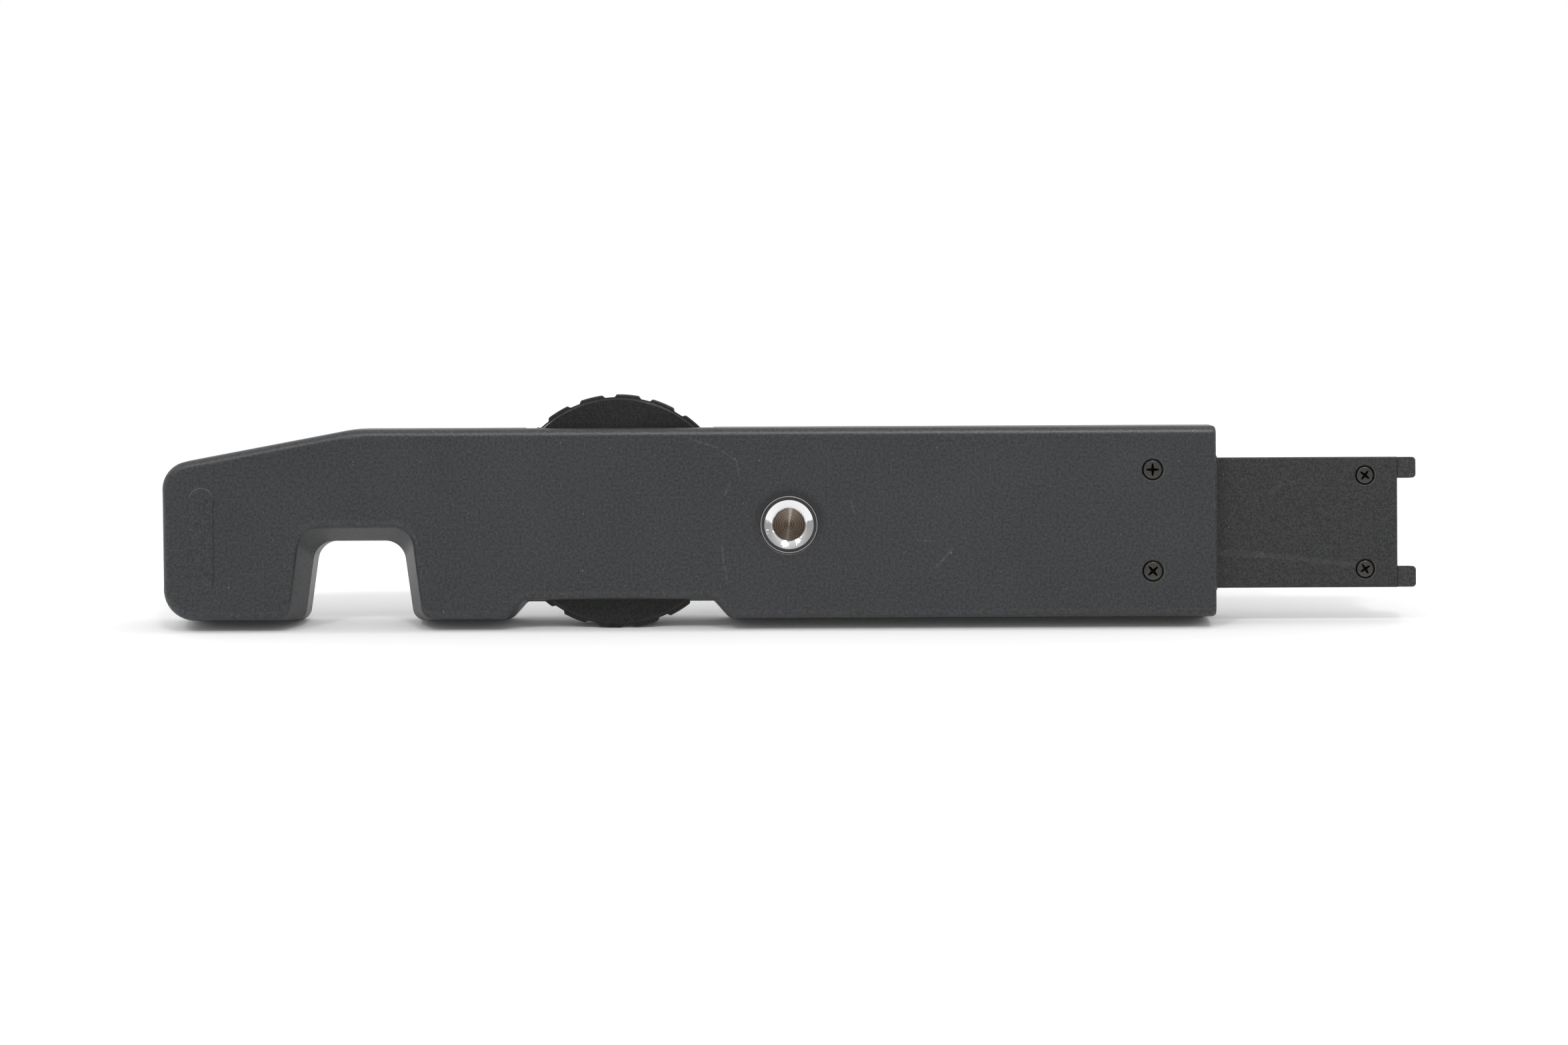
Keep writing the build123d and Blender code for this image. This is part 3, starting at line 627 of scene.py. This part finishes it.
def buildWheel(values):
    # A profile turned round the wheel's axis; between its bevels the rim's radius is the root plus
    # a trapezoid wave over the angle, and the pocket's walls follow a hexagon
    box = inMillimetres("thumbwheel")
    centreX, _, centreZ = middle("camera_screw")
    front = box[0, 1] + values["hubHeight"]
    back = box[1, 1]
    root, bevel = values["root"], values["bevel"]
    angles = np.linspace(0, 2 * np.pi, values["columns"], endpoint=False)
    relief = back - values["reliefDepth"]
    rim = root - values["rimWidth"]
    hubFace = front - values["hubHeight"]
    face = softened([
        (0, hubFace + values["boreDepth"]),
        (values["boreRadius"], hubFace + values["boreDepth"]),
        (values["boreRadius"], hubFace),
        (values["hubRadius"], hubFace),
        (values["hubRadius"], front),
        (root - values["shoulder"] - bevel, front),
        (root - values["shoulder"], front + bevel),
        (root, front + bevel),
    ], values["frontSoftness"], 3)
    halfPitch = np.pi / values["teeth"]
    turn = (angles - values["firstTooth"] + halfPitch) % (2 * halfPitch)
    along = np.abs(turn - halfPitch) * root
    slope = (values["toothBase"] - values["toothTop"]) / 2
    tooth = np.clip((values["toothBase"] / 2 - along) / slope, 0, 1) * values["toothHeight"]
    rise = np.array(values["toothRise"])
    start = np.array([front + bevel] * 5 + [back - bevel] * 5)
    rimRadius = root + rise[:, None] * tooth[None, :]
    rimRows = np.stack([0 * rise, start + np.array(values["toothStart"])], axis=-1)
    reliefInner = values["acrossFlats"] / 2 + values["hexWall"] + values["reliefInner"]
    rear = softened([
        (root, back - bevel),
        (root - bevel, back),
        (rim, back),
        (rim, relief),
        (reliefInner, relief),
    ], values["rearSoftness"], 3)
    outerHex = hexagon(angles, values["acrossFlats"] + 2 * values["hexWall"])
    innerHex = hexagon(angles, values["acrossFlats"])
    pocket = back - values["headDepth"]
    hexRadius = np.stack([outerHex, outerHex, innerHex, innerHex, 0 * innerHex])
    hexRows = np.array([(0, relief), (0, back), (0, back), (0, pocket), (0, pocket)], float)
    grid = np.concatenate([
        turned(face, angles),
        turned(rimRows, angles, rimRadius),
        turned(rear, angles),
        turned(hexRows, angles, hexRadius),
    ]) + np.array([centreX, 0, centreZ])
    finish = wheelPlastic(values)
    grow("thumbwheelRim", [grid], "wheel", "thumbwheel", finish)


buildWheel(wheelLook)

print("tripod socket")
socketLook = {
    "chrome": grey(0.8, (1, 1.0, 1.01)),
    "chromeDull": grey(0.66, (1, 1.0, 1.02)),
    "brass": (0.52, 0.4, 0.3, 1),
    "brassDark": (0.11, 0.082, 0.06, 1),
    # Colour of the painted highlight on the turned brass
    "streak": (0.95, 0.84, 0.7, 1),
    "paintedGrooveShade": 0.02,
    "lipShade": (0.3, 0.28, 0.28, 1),
    "roughness": 0.07,
    "dent": (-3.38, -1.13, 0.45),
    "pitch": 1.27,
    "threadDepth": 0.5,
    "threadFlat": 0.12,
    "threadFade": 0.8,
    "bore": 2.56,
    "boreStart": 0.78,
    "boreEnd": 7.5,
    "cone": 0.25,
    "mouth": (2.82, 0.5),
    "rim": (3.92, 0.04),
    "groove": (3.92, 0.9),
    "grooveOuter": (4.42, 0.9),
    "lip": ((4.42, 0.1), (4.57, 0.1)),
    "flangeFromTail": (2.9, 1.5),
    "tailRadius": 4.0,
    "toolRings": (0.006, 40),
    "columns": 144,
    "softness": 0.06,
}


def chromeAndBrass(values):
    material, shader, flow = newMaterial("chromeAndBrass")
    where = place(flow)
    x, y, z = where.axes()
    away = distance(x, z)
    deep = y.ramp(6.9, 7.2) * (1 - away.ramp(2.7, 2.8))
    beyondGroove = away.ramp(4.38, 4.42)
    # Painted shade: the groove inside the lip is coloured near black and made dull
    groove = (1 - y.ramp(1.2, 1.3)) * away.ramp(3.9, 3.95) * (1 - beyondGroove)
    rings = flow.node(
        "ShaderNodeTexNoise",
        {"noise_dimensions": "1D"},
        {"W": away, "Scale": 7.0, "Detail": 4.0, "Roughness": 0.7},
    )
    # A painted highlight on the turned brass: a lighter fan from its middle, strongest upwards
    tilt = abs(x - 0.12 * z) / (abs(z) + 0.12)
    streak = (1 - tilt.ramp(0.02, 0.2)) * (0.45 + 0.55 * z.ramp(-0.4, 0.6))
    wide = (1 - tilt.ramp(0.1, 0.9)) * 0.14
    wide = wide + (1 - tilt.ramp(0.6, 2.5)) * z.ramp(0.2, 1.2) * 0.06
    spots = noise(flow, where, 2.2, 3.0, 0.7).ramp(0.58, 0.72)
    waves = noise(flow, place(flow, shift=(5, 0, 2)), 0.9, 2.0, 0.6)
    dentX, dentZ, reach = values["dent"]
    dent = distance(x - dentX, z - dentZ).ramp(0.3 * reach, reach) * (1 - deep)
    bottom = blend(flow, rings.ramp(0.42, 0.62), values["brassDark"], values["brass"])
    paintedHighlight = streak * 0.85 * rings.ramp(0.1, 0.6) + wide
    bottom = blend(flow, paintedHighlight, bottom, values["streak"])
    plated = blend(flow, spots * 0.4, values["chrome"], values["chromeDull"])
    plated = blend(flow, groove * 0.93, plated, grey(values["paintedGrooveShade"]))
    lip = beyondGroove * (1 - y.ramp(0.5, 0.6))
    plated = blend(flow, lip, plated, values["lipShade"])
    relief = rings * (0.1 + 0.9 * deep) + spots * 0.1 + waves * 2.0 + dent * 4.0
    feed(
        shader, flow,
        Base_Color=blend(flow, deep, plated, bottom),
        Roughness=values["roughness"] + 0.1 * spots + 0.3 * deep + 0.3 * groove + 0.4 * lip,
        Metallic=1 - 0.25 * deep - 0.7 * groove - 0.5 * lip,
        Normal=bump(flow, relief, 0.02, 0.6),
    )
    return material


def buildSocket(values):
    # A closed profile turned round the socket's axis; along the bore the radius grows by a thread
    # section whose phase is the depth over the pitch less the angle over a full turn
    flange, tail = inMillimetres("tripod_bushing")[1, :2]
    bore, boreStart, boreEnd = values["bore"], values["boreStart"], values["boreEnd"]
    angles = np.linspace(0, 2 * np.pi, values["columns"], endpoint=False)
    reach = np.linspace(0.12, bore - 0.06, 56)
    ringHeight, ringsPerRadian = values["toolRings"]
    rings = ringHeight * np.sin(reach * ringsPerRadian)
    floorRows = np.stack([reach, boreEnd + values["cone"] * (1 - reach / bore) + rings], axis=-1)
    bottom = np.concatenate([[(0, boreEnd + values["cone"])], floorRows, [(bore, boreEnd)]])
    rows = np.linspace(boreEnd - 0.05, boreStart, 96)
    fade = np.clip((boreEnd - rows) / values["threadFade"], 0, 1)
    phase = rows[:, None] / values["pitch"] - angles[None, :] / (2 * np.pi)
    wave = ridge(phase, values["threadFlat"])
    boreRadius = bore + values["threadDepth"] * fade[:, None] * wave
    opening = bore + 0.02 + (rows[:, None] - boreStart) * 0.5
    boreRadius = np.minimum(boreRadius, opening)
    boreRows = np.stack([0 * rows, rows], axis=-1)
    flangeFront, flangeBack = (tail - back for back in values["flangeFromTail"])
    outside = softened([
        (bore, boreStart - 0.02),
        values["mouth"],
        values["rim"],
        values["groove"],
        values["grooveOuter"],
        *values["lip"],
        (values["lip"][1][0], flangeFront),
        (flange, flangeFront),
        (flange, flangeBack),
        (values["tailRadius"], flangeBack),
        (values["tailRadius"], tail),
        (0, tail),
    ], values["softness"], 3)
    grid = np.concatenate([
        turned(bottom, angles),
        turned(boreRows, angles, boreRadius),
        turned(outside, angles),
    ])
    finish = chromeAndBrass(values)
    grow("tripodSocket", [grid], "housing", "tripod_bushing", finish)


buildSocket(socketLook)

print("screws")
screwLook = {
    "shade": ((0.06, 0.057, 0.051, 1), (0.11, 0.104, 0.092, 1)),
    "crossPaintedShade": 0.003,
    "roughness": 0.3,
    "headColumns": 144,
    "shankColumns": 48,
    "dome": 0.05,
    "edgeDrop": 0.2,
    "pitch": 0.45,
    "threadFlat": 0.1,
    "threadRoot": 0.82,
    "crossReach": 0.68,
    "crossWidth": 0.25,
    "crossDepth": 0.95,
    "crossTaper": (1.35, 0.75),
    "crossFlanks": (0.2, 0.3),
    "middleRise": 15,
}


def blackSteel(values, name, face, facing):
    # Painted shade: the driver's cross is darker than the head, everything further down than the
    # head's face
    material, shader, flow = newMaterial(name, Metallic=0.8, IOR=1.5)
    where = place(flow)
    sunk = ((where.axes()[1] - face) * -facing).ramp(0.1, 0.3)
    fine = noise(flow, where, 5.0, 3.0, 0.6)
    worn = noise(flow, where, 1.3, 2.0)
    shade = blend(flow, fine * 0.6 + worn * 0.4, *values["shade"])
    feed(
        shader, flow,
        Base_Color=blend(flow, sunk, shade, grey(values["crossPaintedShade"])),
        Roughness=values["roughness"] + 0.2 * (fine - 0.5) + 0.3 * sunk,
        Normal=bump(flow, fine, 0.01, 0.6),
    )
    return material


def headGrid(values, head, height):
    # A low dome with a rounded edge as a height over the disc, less a cross whose arms narrow and
    # rise towards their ends
    angles = np.linspace(0, 2 * np.pi, values["headColumns"], endpoint=False)
    rounded = 1 - 0.16 * np.linspace(0.85, 0.0, 8) ** 2
    part = np.concatenate([[0.0, 0.03], np.linspace(0.06, 0.84, 40), rounded])
    u = head * part[:, None] * np.cos(angles)
    v = head * part[:, None] * np.sin(angles)
    top = height * (1 - values["dome"] * part**2 - values["edgeDrop"] * part**36)
    reach = values["crossReach"] * head
    width = values["crossWidth"] * head
    wide, narrowing = values["crossTaper"]
    sideFlank, endFlank = values["crossFlanks"]

    def arm(a, b):
        taper = wide - narrowing * np.abs(a) / reach
        across = np.clip((width / 2 * taper - np.abs(b)) / (sideFlank * width), 0, 1)
        along = np.clip((reach - np.abs(a)) / (endFlank * reach), 0, 1)
        return across * along

    sink = values["crossDepth"] * height * np.maximum(arm(u, v), arm(v, u))
    up = np.maximum(top[:, None] - sink, 0.02 * height)
    edge = np.stack([u[-1:], v[-1:], 0 * up[-1:]], axis=-1)
    return np.concatenate([np.stack([u, v, up], axis=-1), edge, 0 * edge])


def shankGrid(values, shank, length):
    # A radius that follows the thread down the shank and draws in at the point
    angles = np.linspace(0, 2 * np.pi, values["shankColumns"], endpoint=False)
    rows = np.linspace(0, -length, int(length / values["pitch"] * 8))
    phase = rows[:, None] / values["pitch"] + angles[None, :] / (2 * np.pi)
    wave = ridge(phase, values["threadFlat"])
    point = np.clip((rows + length) / (0.5 * shank), 0.25, 1)[:, None]
    root = values["threadRoot"]
    radius = shank * point * (root + (1 - root) * wave)
    depth = np.broadcast_to(rows[:, None], radius.shape)
    body = np.stack([radius * np.cos(angles), radius * np.sin(angles), depth], axis=-1)
    return np.concatenate([0 * body[:1], body, 0 * body[-1:] + np.array([0, 0, -length])])


def seated(grid, where, facing, turn):
    # Turns a screw about its own axis, then lays that axis along the depth, head towards facing
    c, s = math.cos(math.radians(turn)), math.sin(math.radians(turn))
    x = c * grid[..., 0] - s * grid[..., 1]
    side = s * grid[..., 0] + c * grid[..., 1]
    return np.stack([x, facing * grid[..., 2], -facing * side], axis=-1) + np.array(where)


# Node, body, way the heads face along the depth, head radius and height, shank radius, and how far
# each driver's cross is turned
screwSets = {
    "bodyScrewHeads": ("body_screws", "housing", -1, 1.5, 0.95, 1.0, (0, 42)),
    "barScrewHeads": ("bar_screws", "bar", -1, 1.35, 0.8, 0.85, (52, 33)),
    "sleeveScrewHeads": ("sleeve_screws", "housing", 1, 1.5, 0.95, 1.0, (15, 70)),
    "housingScrewHeads": ("housing_screws", "housing", 1, 1.5, 0.95, 1.0, (10, 52, 33)),
}


def buildScrews(values):
    for name, (node, body, facing, head, height, shank, turns) in screwSets.items():
        low, high = inMillimetres(node)
        face = low[1] if facing < 0 else high[1]
        seat = face - facing * height
        length = high[1] - low[1] - height
        left, right = low[0] + head, high[0] - head
        foot, top = low[2] + head, high[2] - head
        spots = [(left, top), (right, foot)]
        if len(turns) == 3:
            spots = [(left, foot), (left, foot + values["middleRise"]), (right, top)]
        solids = [headGrid(values, head, height), shankGrid(values, shank, length)]
        grids = [
            seated(solid, (x, seat, z), facing, turn)
            for (x, z), turn in zip(spots, turns)
            for solid in solids
        ]
        finish = blackSteel(values, name + "Steel", face, facing)
        grow(name, grids, body, node, finish)


buildScrews(screwLook)

print("camera screw")
cameraScrewLook = {
    "acrossFlats": 11.0,
    "headHeight": 3.2,
    "journal": 3.6,
    "journalEnd": 13.3,
    "shoulder": 0.15,
    "thread": 3.175,
    "threadRoot": 2.62,
    "threadFlat": 0.1,
    "threadFade": 0.7,
    "pitch": 1.27,
    "tip": 0.7,
    "tipRadii": (2.32, 1.0),
    "columns": 144,
    "softness": 0.05,
}


def buildCameraScrew(values):
    # A hexagon, then a plain journal, then a radius that follows the thread and tapers at the tip
    low, high = inMillimetres("camera_screw")
    centreX, _, centreZ = middle("camera_screw")
    angles = np.linspace(0, 2 * np.pi, values["columns"], endpoint=False)
    hexRadius = hexagon(angles, values["acrossFlats"])
    journal, journalEnd, shoulder = values["journal"], values["journalEnd"], values["shoulder"]
    thread, threadRoot = values["thread"], values["threadRoot"]
    headFront, headBack, tipEnd = low[1], low[1] + values["headHeight"], high[1]
    headRows = np.array([(0, headFront), (0, headFront), (0, headBack), (0, headBack)], float)
    headRadius = np.stack([0 * hexRadius, hexRadius, hexRadius, 0 * hexRadius + journal])
    journalRows = softened([
        (journal, headBack),
        (journal, journalEnd - shoulder),
        (journal - shoulder, journalEnd),
        (threadRoot, journalEnd),
    ], values["softness"], 2)
    rows = np.linspace(journalEnd + 0.02, tipEnd, 96)
    phase = rows[:, None] / values["pitch"] - angles[None, :] / (2 * np.pi)
    runOut = np.clip((rows - journalEnd) / values["threadFade"], 0, 1)[:, None]
    radius = threadRoot + (thread - threadRoot) * ridge(phase, values["threadFlat"]) * runOut
    taper = thread - np.clip(rows - (tipEnd - values["tip"]), 0, None)[:, None]
    radius = np.minimum(radius, taper)
    threadRows = np.stack([0 * rows, rows], axis=-1)
    wide, narrow = values["tipRadii"]
    tip = softened([(wide, tipEnd), (narrow, tipEnd), (0, tipEnd)], values["softness"], 2)
    grid = np.concatenate([
        turned(headRows, angles, headRadius),
        turned(journalRows, angles),
        turned(threadRows, angles, radius),
        turned(tip, angles),
    ]) + np.array([centreX, 0, centreZ])
    finish = machined("turnedSteel", (0.62, 0.62, 0.6), 0.24, 1.0, (3, 0.2, 3), 0.1)
    grow("cameraThread", [grid], "wheel", "camera_screw", finish)


buildCameraScrew(cameraScrewLook)

print("studio")
# Each lamp: elevation, azimuth, power, angular size, and whether it lights matte surfaces
studio = {
    "floorSize": 8.0,
    "floorShade": 0.98,
    "floorFill": 0.02,
    "worldFront": 0.84,
    "mirroredFront": 0.4,
    "worldBack": 0.88,
    "horizon": (-0.7, 0.5),
    "overheadWeight": 0.9,
    "toothInset": 0.75,
    "rearRound": 1.2,
    "lamps": {
        "frontLeftLamp": (40, -117, 0.4, 7, True),
        "frontRightLamp": (44, -76, 0.45, 8, True),
        "leftLamp": (47, -177, 0.16, 7, True),
        "overheadLamp": (67, 0, 0.16, 7, True),
        "rightLamp": (23, -3, 0.2, 8, True),
        "shineLamp": (43, -78, 0.85, 9, False),
    },
    "lens": 79.85,
    "sensorWidth": 36,
    "nearest": 0.01,
    "distance": 0.555,
    "aim": (-0.8 * mm, 0.34 * mm),
    "roll": 0.26,
}


def standingSlope(values):
    # The bracket leans back on the wheel's front lower corner and the shell's rounded rear edge:
    # the floor is the line from that corner that touches the round from below
    wheel = inMillimetres("thumbwheel")
    shell = inMillimetres("platform_shell")
    cornerY = wheel[0, 1] + values["toothInset"]
    cornerZ = wheel[0, 2]
    rearRound = values["rearRound"]
    across = shell[1, 1] - rearRound - cornerY
    up = shell[0, 2] + rearRound - cornerZ
    slope = math.atan2(up, across) - math.asin(rearRound / math.hypot(across, up))
    return slope, cornerY * mm, cornerZ * mm


def buildFloor(values):
    # A large leaning sheet of pale paper; the camera alone sees a faint glow added to it, which
    # stands for light from the room
    slope, cornerY, cornerZ = standingSlope(values)
    print("floor leans", round(math.degrees(slope), 2))
    half = values["floorSize"] / 2
    corners = np.array([(-half, -half), (half, -half), (half, half), (-half, half)])
    height = cornerZ + math.tan(slope) * (corners[:, 1] - cornerY)
    mesh = bpy.data.meshes.new("floor")
    mesh.from_pydata(np.column_stack([corners, height]).tolist(), [], [(0, 1, 2, 3)])
    floor = bpy.data.objects.new("floor", mesh)
    bpy.context.scene.collection.objects.link(floor)
    material = bpy.data.materials.new("palePaper")
    material.use_nodes = True
    tree = material.node_tree
    tree.nodes.clear()
    flow = Flow(tree)
    paper = flow.node("ShaderNodeBsdfDiffuse", {}, {"Color": grey(values["floorShade"])})
    seen = flow.node("ShaderNodeLightPath", out="Is Camera Ray") * values["floorFill"]
    fill = flow.node("ShaderNodeEmission", {}, {"Color": grey(1), "Strength": seen})
    paper = flow.node("ShaderNodeAddShader", {}, {0: paper, 1: fill})
    output = tree.nodes.new("ShaderNodeOutputMaterial")
    tree.links.new(paper.socket, output.inputs["Surface"])
    mesh.materials.append(material)


def buildLight(values):
    # The world is white to the eye. What it lends as light is a little lower in front than
    # overhead and behind, and what shiny surfaces mirror is much lower in front
    world = bpy.data.worlds.new("studio")
    bpy.context.scene.world = world
    world.use_nodes = True
    tree = world.node_tree
    background = tree.nodes["Background"]
    background.inputs["Color"].default_value = (1, 1, 1, 1)
    flow = Flow(tree)
    ray = flow.node("ShaderNodeLightPath", out="Is Camera Ray")
    rays = ray.socket.node.outputs
    seen = ray.math("MAXIMUM", ray, Flow(tree, rays["Is Transmission Ray"]))
    glossy = Flow(tree, rays["Is Glossy Ray"])
    _, y, z = flow.node("ShaderNodeTexCoord", out="Generated").axes()
    behind = (y + values["overheadWeight"] * z).ramp(*values["horizon"])
    lent = values["worldFront"] + behind * (values["worldBack"] - values["worldFront"])
    mirrored = values["mirroredFront"] + behind * (1 - values["mirroredFront"])
    lent = lent + glossy * (mirrored - lent)
    strength = lent + seen * (1 - lent)
    tree.links.new(strength.socket, background.inputs["Strength"])
    for name, (height, side, power, spread, lightsMatte) in values["lamps"].items():
        data = bpy.data.lights.new(name, "SUN")
        data.energy = power
        data.angle = math.radians(spread)
        lamp = bpy.data.objects.new(name, data)
        bpy.context.scene.collection.objects.link(lamp)
        lamp.rotation_euler = (0, math.radians(90 - height), math.radians(side))
        lamp.visible_diffuse = lightsMatte


def buildCamera(values):
    data = bpy.data.cameras.new("camera")
    data.lens = values["lens"]
    data.sensor_width = values["sensorWidth"]
    data.clip_start = values["nearest"]
    camera = bpy.data.objects.new("camera", data)
    bpy.context.scene.collection.objects.link(camera)
    camera.location = (values["aim"][0], -values["distance"], values["aim"][1])
    camera.rotation_euler = (math.radians(90), math.radians(values["roll"]), 0)
    bpy.context.scene.camera = camera
    bpy.context.scene.view_settings.view_transform = "Standard"


buildFloor(studio)
buildLight(studio)
buildCamera(studio)
